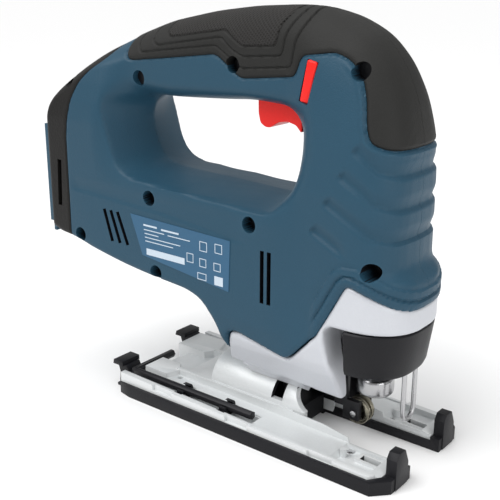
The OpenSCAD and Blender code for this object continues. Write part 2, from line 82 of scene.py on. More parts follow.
def handled_tone_and_edge_highlight_group():
    """Slow change of colour and gloss from handling, with lighter sharp edges that are partly rubbed wear
    and partly painted highlight.
    """
    group = bpy.data.node_groups.new("handled_tone_and_edge_highlight", "ShaderNodeTree")
    add_socket(group, "Colour", "NodeSocketColor", "INPUT", (0.5, 0.5, 0.5, 1.0))
    add_socket(group, "Edge wear and highlight colour", "NodeSocketColor", "INPUT", (0.6, 0.6, 0.6, 1.0))
    add_socket(group, "Edge wear and highlight", "NodeSocketFloat", "INPUT", 0.3)
    add_socket(group, "Spread", "NodeSocketFloat", "INPUT", 0.08)
    add_socket(group, "Gloss low", "NodeSocketFloat", "INPUT", 0.4)
    add_socket(group, "Gloss high", "NodeSocketFloat", "INPUT", 0.5)
    add_socket(group, "Colour", "NodeSocketColor", "OUTPUT")
    add_socket(group, "Roughness", "NodeSocketFloat", "OUTPUT")
    nodes, links = group.nodes, group.links
    inlet = nodes.new("NodeGroupInput")
    outlet = nodes.new("NodeGroupOutput")
    place = nodes.new("ShaderNodeTexCoord")
    slow = nodes.new("ShaderNodeTexNoise")
    slow.inputs["Scale"].default_value = 28.0
    slow.inputs["Detail"].default_value = 4.0
    speck = nodes.new("ShaderNodeTexNoise")
    speck.inputs["Scale"].default_value = 900.0
    speck.inputs["Detail"].default_value = 2.0
    for noise in (slow, speck):
        links.new(place.outputs["Object"], noise.inputs["Vector"])
    both = nodes.new("ShaderNodeMath")
    both.operation = "ADD"
    links.new(slow.outputs["Fac"], both.inputs[0])
    links.new(speck.outputs["Fac"], both.inputs[1])
    centred = nodes.new("ShaderNodeMath")
    centred.operation = "SUBTRACT"
    centred.inputs[1].default_value = 1.0
    links.new(both.outputs[0], centred.inputs[0])
    amount = nodes.new("ShaderNodeMath")
    amount.operation = "MULTIPLY_ADD"
    amount.inputs[2].default_value = 1.0
    links.new(centred.outputs[0], amount.inputs[0])
    links.new(inlet.outputs["Spread"], amount.inputs[1])
    toned = nodes.new("ShaderNodeVectorMath")
    toned.operation = "SCALE"
    links.new(inlet.outputs["Colour"], toned.inputs[0])
    links.new(amount.outputs[0], toned.inputs["Scale"])
    # Sharp convex edges are made lighter: partly rubbed wear, partly a painted edge highlight.
    edge = nodes.new("ShaderNodeNewGeometry")
    edge_range = nodes.new("ShaderNodeMapRange")
    edge_range.inputs["From Min"].default_value = 0.53
    edge_range.inputs["From Max"].default_value = 0.62
    links.new(edge.outputs["Pointiness"], edge_range.inputs["Value"])
    edge_wear_and_highlight = nodes.new("ShaderNodeMath")
    edge_wear_and_highlight.operation = "MULTIPLY"
    links.new(edge_range.outputs["Result"], edge_wear_and_highlight.inputs[0])
    links.new(inlet.outputs["Edge wear and highlight"], edge_wear_and_highlight.inputs[1])
    mixed = nodes.new("ShaderNodeMix")
    mixed.data_type = "RGBA"
    links.new(edge_wear_and_highlight.outputs[0], mixed.inputs["Factor"])
    links.new(toned.outputs["Vector"], mixed.inputs["A"])
    links.new(inlet.outputs["Edge wear and highlight colour"], mixed.inputs["B"])
    gloss = nodes.new("ShaderNodeMapRange")
    gloss.inputs["From Min"].default_value = 0.3
    gloss.inputs["From Max"].default_value = 0.7
    links.new(slow.outputs["Fac"], gloss.inputs["Value"])
    links.new(inlet.outputs["Gloss low"], gloss.inputs["To Min"])
    links.new(inlet.outputs["Gloss high"], gloss.inputs["To Max"])
    links.new(mixed.outputs["Result"], outlet.inputs["Colour"])
    links.new(gloss.outputs["Result"], outlet.inputs["Roughness"])
    return group


GRAIN = moulded_grain_group()
TONE = handled_tone_and_edge_highlight_group()


def finish_of(name, colour, edge_wear_and_highlight_colour, gloss, grain, metal=0.0, edge_wear_and_highlight=0.25, spread=0.1, coat=0.0, shine=0.22):
    """A procedural finish: tone from handling, lighter edges that are partly wear and partly painted
    highlight, and grain for its normal.
    """
    made = bpy.data.materials.new(name)
    made.use_nodes = True
    nodes, links = made.node_tree.nodes, made.node_tree.links
    shader = nodes["Principled BSDF"]
    shader.inputs["Metallic"].default_value = metal
    shader.inputs["Coat Weight"].default_value = coat
    shader.inputs["Coat Roughness"].default_value = 0.25
    shader.inputs["Specular IOR Level"].default_value = shine
    tone = nodes.new("ShaderNodeGroup")
    tone.node_tree = TONE
    tone.inputs["Colour"].default_value = (*colour, 1.0)
    tone.inputs["Edge wear and highlight colour"].default_value = (*edge_wear_and_highlight_colour, 1.0)
    tone.inputs["Edge wear and highlight"].default_value = edge_wear_and_highlight
    tone.inputs["Spread"].default_value = spread
    tone.inputs["Gloss low"].default_value = gloss[0]
    tone.inputs["Gloss high"].default_value = gloss[1]
    links.new(tone.outputs["Colour"], shader.inputs["Base Color"])
    links.new(tone.outputs["Roughness"], shader.inputs["Roughness"])
    texture = nodes.new("ShaderNodeGroup")
    texture.node_tree = GRAIN
    texture.inputs["Size"].default_value = grain[0]
    texture.inputs["Depth"].default_value = grain[1]
    links.new(texture.outputs["Normal"], shader.inputs["Normal"])
    return made


BLUE = finish_of("teal_blue_moulding", (0.019, 0.064, 0.104), (0.06, 0.14, 0.20), (0.38, 0.5),
                 (1300, 0.3), edge_wear_and_highlight=0.35)
GRIP = finish_of("soft_grip", (0.017, 0.017, 0.016), (0.05, 0.048, 0.045), (0.52, 0.66), (1500, 0.4),
                 edge_wear_and_highlight=0.3)
BLACK = finish_of("black_moulding", (0.007, 0.007, 0.009), (0.025, 0.025, 0.028), (0.36, 0.48),
                  (1200, 0.25), edge_wear_and_highlight=0.3)
FRAME_BROWN = finish_of("battery_end_moulding", (0.009, 0.0085, 0.008), (0.03, 0.027, 0.025),
                        (0.45, 0.58), (900, 0.5))
CAST = finish_of("cast_silver", (0.56, 0.575, 0.61), (0.8, 0.8, 0.82), (0.36, 0.5), (1100, 0.25),
                 metal=0.25, edge_wear_and_highlight=0.25, spread=0.05)
BRIGHT_CAST = finish_of("bright_base_casting", (0.66, 0.68, 0.685), (0.85, 0.85, 0.85), (0.3, 0.42),
                        (700, 0.2),
                        metal=0.2, edge_wear_and_highlight=0.3, spread=0.07)
STEEL = finish_of("ground_steel", (0.42, 0.42, 0.43), (0.7, 0.7, 0.7), (0.2, 0.32), (1800, 0.12), metal=1.0)
DARK_STEEL = finish_of("blackened_steel", (0.012, 0.012, 0.014), (0.05, 0.05, 0.055), (0.3, 0.42),
                       (1400, 0.2), metal=0.2, edge_wear_and_highlight=0.4)
ROLLER_STEEL = finish_of("roller_steel", (0.30, 0.28, 0.22), (0.6, 0.56, 0.45), (0.2, 0.3), (1500, 0.15),
                         metal=1.0)
BRASS = finish_of("brass", (0.5, 0.36, 0.17), (0.75, 0.55, 0.3), (0.28, 0.4), (1400, 0.15), metal=1.0)
RED = finish_of("red_moulding", (0.88, 0.014, 0.010), (0.85, 0.08, 0.06), (0.32, 0.42), (1400, 0.15),
                edge_wear_and_highlight=0.2, coat=0.1)
FILM = finish_of("label_film", (0.030, 0.098, 0.180), (0.08, 0.2, 0.32), (0.34, 0.44), (2000, 0.06), edge_wear_and_highlight=0.1)
INK = finish_of("label_ink", (0.52, 0.60, 0.68), (0.6, 0.7, 0.8), (0.36, 0.46), (2000, 0.06), edge_wear_and_highlight=0.1)
BOARD = finish_of("circuit_board", (0.02, 0.13, 0.06), (0.1, 0.3, 0.15), (0.4, 0.5), (1200, 0.2))
LEAD = finish_of("lead_cover", (0.35, 0.02, 0.02), (0.5, 0.1, 0.1), (0.4, 0.5), (1500, 0.15))
COPPER = finish_of("wound_copper", (0.45, 0.2, 0.09), (0.7, 0.38, 0.2), (0.3, 0.42), (500, 0.6), metal=1.0)


def checkered(name, colour, high):
    """The soft grip with its fine cross-hatched panel."""
    made = finish_of(name, colour, high, (0.58, 0.72), (1500, 0.3), edge_wear_and_highlight=0.2)
    nodes, links = made.node_tree.nodes, made.node_tree.links
    place = nodes.new("ShaderNodeTexCoord")
    heights = []
    for turn in (0.95, -0.55):
        turned = nodes.new("ShaderNodeMapping")
        turned.inputs["Rotation"].default_value = (0.0, turn, 0.0)
        ribs = nodes.new("ShaderNodeTexWave")
        ribs.bands_direction = "X"
        ribs.inputs["Scale"].default_value = 230.0
        ribs.inputs["Distortion"].default_value = 0.0
        links.new(place.outputs["Object"], turned.inputs["Vector"])
        links.new(turned.outputs["Vector"], ribs.inputs["Vector"])
        heights.append(ribs)
    both = nodes.new("ShaderNodeMath")
    both.operation = "MULTIPLY"
    links.new(heights[0].outputs["Fac"], both.inputs[0])
    links.new(heights[1].outputs["Fac"], both.inputs[1])
    knurl = nodes.new("ShaderNodeBump")
    knurl.inputs["Strength"].default_value = 0.9
    knurl.inputs["Distance"].default_value = 0.0006
    links.new(both.outputs[0], knurl.inputs["Height"])
    grain = next(n for n in nodes if n.type == "GROUP" and n.node_tree == GRAIN)
    links.new(grain.outputs["Normal"], knurl.inputs["Normal"])
    links.new(knurl.outputs["Normal"], nodes["Principled BSDF"].inputs["Normal"])
    return made


GRIP_PANEL = checkered("soft_grip_panel", (0.024, 0.023, 0.022), (0.06, 0.056, 0.052))

# ---------------------------------------------------------------- mesh helpers


def new_object(name, bm):
    mesh = bpy.data.meshes.new(name)
    bmesh.ops.recalc_face_normals(bm, faces=bm.faces)
    bm.to_mesh(mesh)
    bm.free()
    made = bpy.data.objects.new(name, mesh)
    bpy.context.scene.collection.objects.link(made)
    return made


def settle(obj):
    """Turns an object's live modifiers into plain mesh."""
    graph = bpy.context.evaluated_depsgraph_get()
    made = bpy.data.meshes.new_from_object(obj.evaluated_get(graph), preserve_all_data_layers=True,
                                           depsgraph=graph)
    obj.modifiers.clear()
    old = obj.data
    obj.data = made
    bpy.data.meshes.remove(old)
    return obj


def drop(*objs):
    for obj in objs:
        mesh = obj.data
        bpy.data.objects.remove(obj)
        bpy.data.meshes.remove(mesh)


def prism(outline, low, high, across="y"):
    """A flat outline drawn out between two planes. across is the axis it is drawn along."""
    bm = bmesh.new()
    if across == "y":
        corners = [bm.verts.new((p[0], low, p[1])) for p in outline]
        travel = (0, high - low, 0)
    elif across == "x":
        corners = [bm.verts.new((low, p[0], p[1])) for p in outline]
        travel = (high - low, 0, 0)
    else:
        corners = [bm.verts.new((p[0], p[1], low)) for p in outline]
        travel = (0, 0, high - low)
    face = bm.faces.new(corners)
    grown = bmesh.ops.extrude_face_region(bm, geom=[face])
    moved = [v for v in grown["geom"] if isinstance(v, bmesh.types.BMVert)]
    bmesh.ops.translate(bm, verts=moved, vec=travel)
    return new_object("prism", bm)


def block(x, y, z):
    bm = bmesh.new()
    size = Vector((x[1] - x[0], y[1] - y[0], z[1] - z[0]))
    centre = Vector((x[0] + x[1], y[0] + y[1], z[0] + z[1])) / 2
    bmesh.ops.create_cube(bm, size=1.0, matrix=Matrix.Translation(centre) @ Matrix.Diagonal((*size, 1.0)))
    return new_object("block", bm)


def rod(start, end, radius, sides=48):
    bm = bmesh.new()
    a, b = Vector(start), Vector(end)
    turn = (b - a).to_track_quat("Z", "Y").to_matrix().to_4x4()
    bmesh.ops.create_cone(bm, cap_ends=True, segments=sides, radius1=radius, radius2=radius,
                          depth=(b - a).length, matrix=Matrix.Translation((a + b) / 2) @ turn)
    return new_object("rod", bm)


def gathered(parts):
    """Several separate solids as one object."""
    bm = bmesh.new()
    for part in parts:
        bm.from_mesh(part.data)
    drop(*parts)
    return new_object("gathered", bm)


def boolean(target, tools, operation="DIFFERENCE"):
    """Cuts, joins or keeps the overlap with tools that don't touch each other."""
    tool = gathered(tools)
    step = target.modifiers.new("cut", "BOOLEAN")
    step.operation = operation
    step.solver = "EXACT"
    step.object = tool
    settle(target)
    drop(tool)
    return target


def joined(parts):
    """One solid from parts that run into each other."""
    first = parts[0]
    for part in parts[1:]:
        boolean(first, [part], "UNION")
    return first


def remeshed(obj, voxel):
    step = obj.modifiers.new("remesh", "REMESH")
    step.mode = "VOXEL"
    step.voxel_size = voxel
    return settle(obj)


def smoothed(obj, rounds, strength=0.5):
    step = obj.modifiers.new("smooth", "SMOOTH")
    step.iterations = rounds
    step.factor = strength
    return settle(obj)


def bevelled(obj, width, segments=2, angle=32.0):
    step = obj.modifiers.new("bevel", "BEVEL")
    step.width = width
    step.segments = segments
    step.limit_method = "ANGLE"
    step.angle_limit = math.radians(angle)
    step.harden_normals = False
    return settle(obj)


def shade(obj, angle=40.0):
    mesh = obj.data
    mesh.shade_smooth()
    mesh.set_sharp_from_angle(angle=math.radians(angle))


def finish_piece(obj, name, body, nodes, material, angle=40.0):
    """Names, paints and places a piece, and gives it to its CAD body."""
    obj.name = name
    obj.data.name = name
    obj.data.transform(Matrix.Diagonal((MM, MM, MM, 1.0)))
    if material is not None:
        obj.data.materials.clear()
        obj.data.materials.append(material)
    shade(obj, angle)
    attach(obj, body)
    if nodes:
        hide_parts(*nodes)
    return obj


def points_of(obj):
    co = np.zeros(len(obj.data.vertices) * 3, np.float32)
    obj.data.vertices.foreach_get("co", co)
    return co.reshape(-1, 3).astype(float)


def put_points(obj, co):
    obj.data.vertices.foreach_set("co", co.astype(np.float32).ravel())
    obj.data.update()


def normals_of(obj):
    n = np.zeros(len(obj.data.vertices) * 3, np.float32)
    obj.data.vertices.foreach_get("normal", n)
    return n.reshape(-1, 3).astype(float)


def distance_to(x, z, line, closed=False):
    """Shortest distance in the side view from each point to a broken line."""
    line = np.array(line, float)
    ends = np.roll(line, -1, 0) if closed else line[1:]
    starts = line if closed else line[:-1]
    best = np.full(x.shape, 1e9)
    for a, b in zip(starts, ends):
        d = b - a
        t = np.clip(((x - a[0]) * d[0] + (z - a[1]) * d[1]) / max(d @ d, 1e-9), 0, 1)
        best = np.minimum(best, np.hypot(x - a[0] - t * d[0], z - a[1] - t * d[1]))
    return best


def ease(v, low, high):
    t = np.clip((v - low) / (high - low), 0, 1)
    return t * t * (3 - 2 * t)


def filleted(line, radius, closed=False):
    """Rounds each corner of a line with a short curve that starts radius away from it."""
    made = [] if closed else [line[0]]
    count = len(line)
    for i in range(count) if closed else range(1, count - 1):
        before, corner, after = (Vector(line[(i + k) % count][:2]) for k in (-1, 0, 1))
        a = corner + (before - corner).normalized() * min(radius, (before - corner).length * 0.45)
        b = corner + (after - corner).normalized() * min(radius, (after - corner).length * 0.45)
        for t in (0.0, 0.25, 0.5, 0.75, 1.0):
            p = a * (1 - t) ** 2 + corner * 2 * t * (1 - t) + b * t * t
            made.append((p.x, p.y))
    return made if closed else made + [line[-1]]


def inside(x, z, outline):
    """Which points lie in an outline of the side view."""
    hit = np.zeros(x.shape, bool)
    for (xa, za), (xb, zb) in zip(outline, outline[1:] + outline[:1]):
        if za == zb:
            continue
        crosses = ((za > z) != (zb > z)) & (x < (xb - xa) * (z - za) / (zb - za) + xa)
        hit ^= crosses
    return hit

# ---------------------------------------------------------------- outlines, side view (X, Z)

NOSE_FRONT = 112.5
SEAM = [(NOSE_FRONT, 80.3), (98, 88), (88.4, 91.8), (85.6, 91.4), (78.4, 78), (70, 63), (56, 48.2),
        (53, 46.8), (24.6, 53.6), (19.2, 52),
        (15.8, 42.3), (13, 33)]
COLLAR_LINE = [(NOSE_FRONT, 80.3), (NOSE_FRONT, 91.5), (106.8, 98.5), (106.4, 140)]
TOP_LINE = [(106.4, 140), (105, 156), (101, 172), (94, 186),
            (84, 197), (70, 204), (55, 207.4), (42, 207.8), (16, 206.4), (-8, 203.4), (-35, 198), (-56, 191),
            (-77, 182.5), (-93, 172.5), (-105, 164), (-111, 155), (-113, 146), (-113, 79)]
FRONT = filleted(COLLAR_LINE, 2.5)[:-1] + filleted(TOP_LINE, 6)
BELLY = filleted([(-113, 79), (-91, 77), (-75, 73), (-52, 69), (-30, 66.5), (-8, 65), (1, 62), (7, 55),
                  (11, 46),
                  (12.2, 33)], 6)
SEAM_CURVE = filleted(SEAM, 2.0)
OUTER = FRONT + BELLY[1:] + list(reversed(SEAM_CURVE))[:-1]
OPENING = filleted([(-50, 160), (-55.5, 150), (-54.3, 140), (-50.5, 131), (-44.5, 124.2), (-30, 122.9),
                    (20, 121.4),
                    (40, 120.6), (48.5, 126), (50, 140), (49, 154), (43, 162.5), (20, 163.6), (0, 162),
                    (-30, 160.3)], 6, closed=True)
CREASE = filleted([(-58, 171), (-68, 163), (-66.5, 152), (-62.5, 141), (-59.5, 131), (-54.8, 123.6),
                   (-45.8, 120),
                   (-21.5, 118.8), (7, 117.6), (35, 116.2), (47, 116.6), (58, 122.5), (64, 131),
                   (68, 145), (67, 160),
                   (58, 169), (30, 170), (0, 169.5), (-30, 168.5)], 5, closed=True)
GRIP_EDGE = filleted([(-59, 200), (-57.4, 182.4), (-53.5, 178.3), (-25, 181.5), (4.2, 185), (19, 174.8),
                      (50.3, 178),
                      (54, 187.6), (71, 189.8), (78.5, 187), (85, 180.5), (88.2, 172), (90.4, 160),
                      (92.6, 154.2),
                      (99.7, 151.4), (110, 150.6), (122, 150.4)], 3.0)
GRIP_AREA = GRIP_EDGE + [(122, 230), (-60, 230)]
PANEL_LINES = [
    filleted([(-49.6, 215), (-49.2, 187.8), (-45.6, 183.0), (4.5, 189.2), (13.1, 184), (19.7, 179.6),
              (47, 182),
              (48.8, 184), (50.3, 194), (54, 203), (55.6, 215)], 2.0),
    filleted([(-40.9, 215), (-38, 189), (-34.4, 187.0), (7.6, 193.2), (14.6, 187.6), (20.7, 185),
              (41.9, 186.6),
              (43.4, 188.5), (45, 196.7), (49, 206), (49.6, 215)], 2.0),
    filleted([(-31, 215), (-29.4, 193.2), (-25.6, 191.5), (9.6, 196.5), (20.2, 189.6), (38.6, 190.7),
              (39.9, 192.2),
              (41, 200), (44, 207), (44.6, 215)], 2.0)]
FRAME_EDGE = filleted([(-92.5, 60), (-92, 137), (-89, 156), (-85, 165.5), (-78, 172.5), (-71, 177.5),
                       (-64, 195)], 5)
FRAME_AREA = FRAME_EDGE + [(-130, 195), (-130, 60)]
SCREWS = [(-47, 170, 15), (15, 181, 12), (84, 183, 13), (-31, 112, 24), (34, 110, 24), (-84, 83, 24),
          (-27, 73, 24),
          (97, 99, 15)]
SLOTS = [((42, 73), (42, 99), 2.2), ((46, 73), (46, 99), 2.2), ((-64, 101), (-58.6, 84), 2.3),
         ((-59, 101), (-52.8, 84), 2.3), ((-54, 101), (-47, 84), 2.3)]
HANDLE_HALF = 18.5
SADDLE_Z, SADDLE_RADIUS, SADDLE_BORE = 11.5, 15.2, 12.4
WELL_RADIUS = 4.0
SMOOTH_ANGLE = 35          # sharp edges of the big mouldings, degrees
PARTING_GAP = 0.1          # each half stops this far from the middle plane
TRIGGER_SLOT_X, TRIGGER_SLOT_Y = (20.2, 47), (-7.6, 7.6)
NOSE_X, NOSE_LONG, NOSE_WIDE, NOSE_POWER = 82.0, 30.5, 28.8, 2.5


def superellipse(t, power):
    return (1 - (1 - np.clip(t, 0, 1)) ** power) ** (1 / power)


def nose_plan(x):
    """Share of the half width left at x, round the front of the nose."""
    t = np.clip((x - NOSE_X) / NOSE_LONG, 0, 1)
    return (1 - t ** NOSE_POWER) ** (1 / NOSE_POWER)


def half_width(x, z):
    """Half the tool's width at each point of the side view."""
    beam = np.interp(z, [30, 33, 40, 48, 60, 72, 112, 118, 124, 135, 150, 160],
                     [17, 18.5, 24, 28.4, 30.2, 30.5, 30.5, 29.8, 28.6, 25.5, 21.5, HANDLE_HALF])
    rear = np.interp(z, [72, 146, 156, 166, 176, 184, 192], [30.5, 30.5, 29.0, 26, 22.4, 19.6, HANDLE_HALF])
    nose = np.interp(z, [30, 33, 40, 48, 130, 150, 162, 176, 190, 200, 208],
                     [17, 18.5, 24, 28.6, 28.6, 26.8, 25, 22.6, 20, 17.5, 14])
    width = beam + (rear - beam) * (1 - ease(x, -72, -50))
    width = width + (nose - width) * ease(x, 44, 66)
    rim = distance_to(x, z, FRONT + BELLY[1:])
    front = ease(x, 40, 78) * ease(z, 60, 92)
    rim_depth = 5 + 11 * ease(z, 165, 185)
    rim_depth = rim_depth + (32 - rim_depth) * front
    rim_depth = rim_depth + (10 - rim_depth) * (1 - ease(x, -95, -60)) * ease(z, 140, 165)
    rim_depth = rim_depth + (7 - rim_depth) * (1 - ease(x, -107, -100)) * (1 - ease(z, 140, 165))
    outer = superellipse(rim / rim_depth, 2.0 + 1.0 * front)
    collar = (1 - ease(z, 91.5, 98.5)) * ease(x, 60, 70)
    outer = outer + (nose_plan(x) - outer) * collar
    hole = distance_to(x, z, OPENING, closed=True)
    hole = np.where(inside(x, z, OPENING), 0.0, hole)
    to_crease = np.where(inside(x, z, CREASE), distance_to(x, z, CREASE, closed=True), 0.0)
    t = hole / np.maximum(hole + to_crease, 1e-6)
    rounded = superellipse(t, 2.0)
    straight = np.clip(t, 0, 1) ** 0.9
    round_share = np.clip(ease(x, 40, 50) + ease(z, 154, 162), 0, 1)
    inner = straight + (rounded - straight) * (0.12 + 0.88 * round_share)
    return np.maximum(width * np.minimum(outer, inner), 0.25)


def sculpted(outline, holes, width_of, coarse=1.2, fine=0.85, rounds=4):
    """A solid with this side outline whose half width follows width_of(x, z)."""
    body = prism(outline, -32, 32)
    if holes:
        boolean(body, [prism(hole, -40, 40) for hole in holes])
    remeshed(body, coarse)
    co = points_of(body)
    co[:, 1] *= width_of(co[:, 0], co[:, 2]) / 32
    put_points(body, co)
    remeshed(body, fine)
    return smoothed(body, rounds)


def press(obj, depth_of):
    """Moves the skin inwards by depth_of(x, y, z)."""
    co = points_of(obj)
    n = normals_of(obj)
    depth = depth_of(co[:, 0], co[:, 1], co[:, 2])
    put_points(obj, co - n * depth[:, None])
    return obj


# Slanted finger ribs of the nose: start (x, z), where they turn, height at the front, and whether they wrap.
NOSE_RIBS = [((86, 151.0), (97.5, 144.0), 140.9, 1.0), ((80.5, 139.5), (97.5, 129.2), 126.2, 1.0),
             ((74, 127), (96, 114.5), 112.2, 1.0), ((67.5, 113.5), (87, 104), 99.5, 0.0)]


def skin_details(x, y, z):
    depth = np.zeros(x.shape)
    ledge = np.interp(x, [-90, -75, -48, -23, 3, 22], [108.2, 107.7, 106.6, 105.4, 102.8, 100.2])
    depth += 0.6 * ease(z - ledge, -0.7, 0.5) * ease(x, -91,
                                                     -84) * (1 - ease(x, 20, 36)) * (1 - ease(z, 110, 116))
    reach = np.hypot(x - 74, y)
    around = np.degrees(np.arctan2(np.abs(y), x - 74))
    for (start, turn, front_z, wraps) in NOSE_RIBS:
        side_z = np.interp(x, [start[0], turn[0]], [start[1], turn[1]])
        height = front_z + (side_z - front_z) * ease(around, 25, 60) if wraps else side_z
        below = height - z
        shape = ease(below, -6.5, 0.0) * (1 - ease(below, 0.3, 2.4))
        fade = ease(x - start[0] - 0.95 * np.maximum(z - start[1], 0), -0.9, 0.6)
        if not wraps:
            fade = fade * (1 - ease(x, turn[0] - 8, turn[0]))
        depth += 1.5 * shape * fade * ease(reach, 8, 14)
    from_seam = distance_to(x, z, SEAM_CURVE[:-14])
    near_nose = ease(x, 67, 72)
    flange = near_nose * (1 - ease(from_seam, 7.6, 8.3)) * (1 - ease(z, 100, 104))
    groove = near_nose * ease(from_seam, 2.9,
                              3.6) * (1 - ease(from_seam, 4.2, 5.0)) * (1 - ease(z, 100, 104))
    depth += -1.1 * flange + 1.0 * groove
    grip_line = distance_to(x, z, GRIP_EDGE)
    in_grip = inside(x, z, GRIP_AREA)
    depth += 0.9 * (1 - ease(grip_line, 0.1, 1.1))
    depth += np.where(in_grip, -0.45 * ease(grip_line, 0.6, 1.8), 0)
    bead = ease(x, 74, 80) * (1 - ease(z, 182, 188))
    depth += np.where(in_grip, 0, -0.5 * bead * ease(grip_line, 0.9, 1.4) * (1 - ease(grip_line, 2.2, 3.2)))
    depth += 0.7 * (1 - ease(distance_to(x, z, FRAME_EDGE), 0.1, 1.0))
    return depth


def panel_grooves(x, y, z):
    depth = np.zeros(x.shape)
    for line in PANEL_LINES:
        depth += 0.75 * (1 - ease(distance_to(x, z, line), 0.15, 0.8))
    return depth


def half(obj, side):
    """Keeps one half of a closed solid, closed again at the parting plane with a thin gap."""
    bm = bmesh.new()
    bm.from_mesh(obj.data)
    cut = bmesh.ops.bisect_plane(bm, geom=bm.verts[:] + bm.edges[:] + bm.faces[:], dist=1e-4,
                                 plane_co=(0, PARTING_GAP * side, 0), plane_no=(0, -side, 0),
                                 clear_outer=True)
    rim = [e for e in cut["geom_cut"] if isinstance(e, bmesh.types.BMEdge)]
    bmesh.ops.holes_fill(bm, edges=rim, sides=0)
    bmesh.ops.triangulate(bm, faces=[f for f in bm.faces if len(f.verts) > 4])
    return new_object("half", bm)


def copy_of(obj):
    made = bpy.data.objects.new("copy", obj.data.copy())
    bpy.context.scene.collection.objects.link(made)
    return made


def slot_tool(a, b, width, depth=(-40, 40)):
    """A slot between two points of the side view."""
    along = Vector((b[0] - a[0], b[1] - a[1])).normalized()
    out = Vector((-along.y, along.x)) * width / 2
    corners = [(a[0] + out.x, a[1] + out.y), (b[0] + out.x, b[1] + out.y), (b[0] - out.x, b[1] - out.y),
               (a[0] - out.x, a[1] - out.y)]
    return prism(corners, *depth)


def well_tools():
    return [rod((x, -45, z), (x, -depth, z), WELL_RADIUS) for x, z, depth in SCREWS]


bodies = frame["record"]["behaviour"]["bodies"]
body_of_node = {node: body for body, nodes in bodies.items() for node in nodes}

# ---------------------------------------------------------------- housing, soft grip and battery end

PLUNGER_X = 88.0
YOKE_WAY_TOP, YOKE_WAY_RADIUS = 140.7, 8.9
ROD_WAY_TOP, ROD_WAY_RADIUS = 177.2, 5.9
LOCK_BAR = ((61.0, 186.0), (57.2, 167.6))
form = sculpted(OUTER, [OPENING], half_width)
press(form, skin_details)
battery_end = boolean(copy_of(form), [prism([(x - 0.2, z) for x, z in FRAME_AREA], -45, 45)], "INTERSECT")
grip = boolean(copy_of(form), [prism(GRIP_AREA, -45, 45)], "INTERSECT")
remeshed(grip, 0.55)
press(grip, panel_grooves)
shell = boolean(form, [gathered([prism(FRAME_AREA, -45, 45), prism(GRIP_AREA, -45, 45)])])
slits = [slot_tool(a, b, wide, (s, s + 16)) for a, b, wide in SLOTS for s in (-40, 24)]
boolean(shell, well_tools() + slits + [block(TRIGGER_SLOT_X, TRIGGER_SLOT_Y, (146, 179)),
                                       slot_tool(*LOCK_BAR, 6.2)])
boolean(grip, well_tools() + [block(TRIGGER_SLOT_X, TRIGGER_SLOT_Y, (146, 179.4))])
for cover in (shell, grip):
    boolean(cover, [rod((PLUNGER_X, 0, 60), (PLUNGER_X, 0, YOKE_WAY_TOP), YOKE_WAY_RADIUS)])
    boolean(cover, [rod((PLUNGER_X, 0, 120), (PLUNGER_X, 0, ROD_WAY_TOP), ROD_WAY_RADIUS)])
boolean(battery_end, [block((-125, -111), (-40, 40), (60, 200)),
                      slot_tool((-98.3, 123), (-99.8, 97), 3.2, (-40, -27.5)),
                      rod((-93, -45, 165.3), (-93, -18, 165.3), 3.2)])


def paint_faces(obj, material, chosen):
    """Gives a second material to the faces whose centres chosen(x, y, z) picks."""
    obj.data.materials.append(material)
    mesh = obj.data
    centres = np.zeros(len(mesh.polygons) * 3, np.float32)
    mesh.polygons.foreach_get("center", centres)
    x, y, z = centres.reshape(-1, 3).T.astype(float) / MM
    index = np.zeros(len(mesh.polygons), np.int32)
    mesh.polygons.foreach_get("material_index", index)
    index[chosen(x, y, z)] = len(mesh.materials) - 1
    mesh.polygons.foreach_set("material_index", index)


def painted_hole_shade(x, y, z):
    """Painted shade: the deep ends of the screw wells and air slots, picked to be painted black where shadow
    falls.
    """
    sunk = half_width(x, z) - np.abs(y)
    hit = np.zeros(x.shape, bool)
    for well_x, well_z, depth in SCREWS:
        hit |= (np.hypot(x - well_x,
                         z - well_z) < WELL_RADIUS + 0.08) & (sunk > 3.4) & (np.abs(y) > depth - 0.5)
    for a, b, wide in SLOTS:
        hit |= (distance_to(x, z, [a, b]) < wide / 2 + 0.06) & (sunk > 1.0) & (np.abs(y) > 15)
    return hit


for side, word in ((-1, "right"), (1, "left")):
    made = finish_piece(half(shell, side), "shell_" + word, "housing", ["housing_" + word],
                        BLUE, SMOOTH_ANGLE)
    # The deep ends of the wells and slots are painted black as shade.
    paint_faces(made, BLACK, painted_hole_shade)
    cover = finish_piece(half(grip, side), "soft_cover_" + word, "housing", ["grip_" + word],
                         GRIP, SMOOTH_ANGLE)
    paint_faces(cover, GRIP_PANEL, lambda x, y, z: inside(x, z, PANEL_LINES[2]))
    # The deep ends of the wells and slots are painted black as shade.
    paint_faces(cover, BLACK, painted_hole_shade)
drop(shell, grip)
finish_piece(battery_end, "battery_end_frame", "housing", ["battery_frame"],
             FRAME_BROWN, SMOOTH_ANGLE)

rail = prism([(-25, 79), (25, 79), (25, 140), (21, 146), (-21, 146), (-25, 140)], -113, -111, "x")
rail = joined([rail, block((-117, -112.5), (18, 24), (84, 140)),
               block((-117, -112.5), (-24, -18), (84, 140))])
boolean(rail, [block((-115.5, -113), (17, 20.5), (86, 152)), block((-115.5, -113), (-20.5, -17), (86, 152))])
finish_piece(bevelled(rail, 0.5), "battery_rail_plate", "housing", ["battery_rail"], BLUE)

# ---------------------------------------------------------------- gear case and release lever

CASE = filleted([(NOSE_FRONT, 79.8), (98, 87.5), (88.2, 91.3), (86.1, 90.9), (78.9, 77.6), (70.4, 62.5),
                 (56, 47.7), (53, 46.2),
                 (24.6, 53.1), (19.6, 51.6), (16.2, 42), (13.4, 33.4), (13, 32.6), (38.8, 31.3), (60, 30.2),
                 (79.4, 29.4), (80.6, 30.6), (80.2, 36), (79.4, 43), (77.2, 53), (75.4, 62), (75.2, 67),
                 (79, 69.6),
                 (NOSE_FRONT, 69.6)], 1.2)


